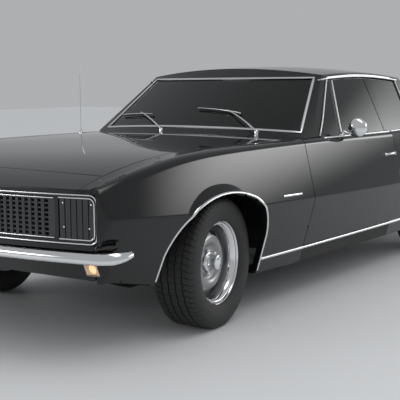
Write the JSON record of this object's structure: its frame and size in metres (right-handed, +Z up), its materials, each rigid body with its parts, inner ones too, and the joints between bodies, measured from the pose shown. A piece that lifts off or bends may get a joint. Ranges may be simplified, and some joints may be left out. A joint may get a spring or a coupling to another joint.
{
  "type": "two-door muscle car",
  "caption": "Two-door hardtop muscle car with long hood, hidden headlamp doors, hinged doors, hood and trunk lid, steered front wheels and a hollow cabin.",
  "frame": {"origin": "on the ground, midway between the sides of the body and midway along the overall length", "axes": "+Z up, nose towards -Y, the car's left (driver's) side towards +X"},
  "size_m": [1.8889, 4.6893, 1.3022],
  "materials": {
    "body_paint": "deep gloss black with clear coat",
    "underbody_paint": "satin black",
    "chrome_plate": "bright plating",
    "bright_trim": "polished trim",
    "grille_black": "semi-gloss black",
    "amber_lens": "moulded lens",
    "red_lens": "moulded lens",
    "tinted_glass": "dark tint",
    "engine_iron": "painted casting",
    "chassis_steel": "satin black steel",
    "exhaust_steel": "dull steel",
    "black_vinyl": "grained vinyl",
    "dash_plastic": "moulded matte",
    "wheel_metal": "polished steel",
    "tyre_rubber": "moulded rubber"
  },
  "bodies": {
    "root": {"floor_pan": "underbody_paint", "firewall": "underbody_paint", "tunnel": "underbody_paint", "bulkhead": "underbody_paint", "rear_floor": "underbody_paint", "cowl_panel": "body_paint", "roof": "body_paint", "quarter_panels": "body_paint", "tail_panel": "body_paint", "front_fenders": "body_paint", "header_panel": "body_paint", "front_valance": "body_paint", "front_aprons": "underbody_paint", "front_bumper": "chrome_plate", "rear_bumper": "chrome_plate", "grille": "grille_black", "headlamp_covers": "grille_black", "parking_lamps": "amber_lens", "tail_lamps": "red_lens", "windshield": "tinted_glass", "rear_window": "tinted_glass", "quarter_glass": "tinted_glass", "wipers": "bright_trim", "antenna": "bright_trim", "engine": "engine_iron", "front_subframe": "chassis_steel", "rear_axle": "chassis_steel", "exhaust": "exhaust_steel", "fuel_tank": "exhaust_steel", "front_seats": "black_vinyl", "rear_seat": "black_vinyl", "dashboard": "dash_plastic"},
    "door_left": {"door_left": "body_paint", "door_glass_left": "tinted_glass", "mirror_left": "bright_trim"},
    "door_right": {"door_right": "body_paint", "door_glass_right": "tinted_glass"},
    "hood": {"hood": "body_paint"},
    "trunk_lid": {"trunk_lid": "body_paint"},
    "knuckle_left": {"knuckle_left": "chassis_steel"},
    "knuckle_right": {"knuckle_right": "chassis_steel"},
    "wheel_front_left": {"wheel_front_left": "wheel_metal", "tyre_front_left": "tyre_rubber"},
    "wheel_front_right": {"wheel_front_right": "wheel_metal", "tyre_front_right": "tyre_rubber"},
    "wheel_rear_left": {"wheel_rear_left": "wheel_metal", "tyre_rear_left": "tyre_rubber"},
    "wheel_rear_right": {"wheel_rear_right": "wheel_metal", "tyre_rear_right": "tyre_rubber"},
    "steering_wheel": {"steering_wheel": "dash_plastic"}
  },
  "joints": [
    {"name": "door_left_hinge", "type": "hinge", "parent": "root", "child": "door_left", "pos_m": [0.9222, -0.5945, 0.6], "axis": [0, 0, -1], "range_deg": [0, 65]},
    {"name": "door_right_hinge", "type": "hinge", "parent": "root", "child": "door_right", "pos_m": [-0.9222, -0.5945, 0.6], "axis": [0, 0, 1], "range_deg": [0, 65]},
    {"name": "hood_hinge", "type": "hinge", "parent": "root", "child": "hood", "pos_m": [0, -0.597, 0.908], "axis": [-1, 0, 0], "range_deg": [0, 50]},
    {"name": "trunk_hinge", "type": "hinge", "parent": "root", "child": "trunk_lid", "pos_m": [0, 1.6, 0.94], "axis": [1, 0, 0], "range_deg": [0, 70]},
    {"name": "steer_left", "type": "hinge", "parent": "root", "child": "knuckle_left", "pos_m": [0.69, -1.413, 0.3255], "axis": [0, 0, 1], "range_deg": [-40.9, 25.1]},
    {"name": "steer_right", "type": "hinge", "parent": "root", "child": "knuckle_right", "pos_m": [-0.69, -1.413, 0.3255], "axis": [0, 0, 1], "range_deg": [-40.9, 25.1]},
    {"name": "helm_turn", "type": "hinge", "parent": "root", "child": "steering_wheel", "pos_m": [0.385, -0.07, 0.8], "axis": [0, 0.9063, 0.4226], "range_deg": [-655, 402]},
    {"name": "spin_front_left", "type": "hinge", "parent": "knuckle_left", "child": "wheel_front_left", "pos_m": [0.74943, -1.40475, 0.3255], "axis": [0.9905, 0.1374, 0], "continuous": true},
    {"name": "spin_front_right", "type": "hinge", "parent": "knuckle_right", "child": "wheel_front_right", "pos_m": [-0.74943, -1.42125, 0.3255], "axis": [0.9905, 0.1374, 0], "continuous": true},
    {"name": "spin_rear_left", "type": "hinge", "parent": "root", "child": "wheel_rear_left", "pos_m": [0.748, 1.33, 0.3255], "axis": [1, 0, 0], "continuous": true},
    {"name": "spin_rear_right", "type": "hinge", "parent": "root", "child": "wheel_rear_right", "pos_m": [-0.748, 1.33, 0.3255], "axis": [1, 0, 0], "continuous": true}
  ],
  "couplings": [
    {"joint": "steer_right", "follows": "steer_left", "ratio": 1},
    {"joint": "helm_turn", "follows": "steer_left", "ratio": 16}
  ]
}
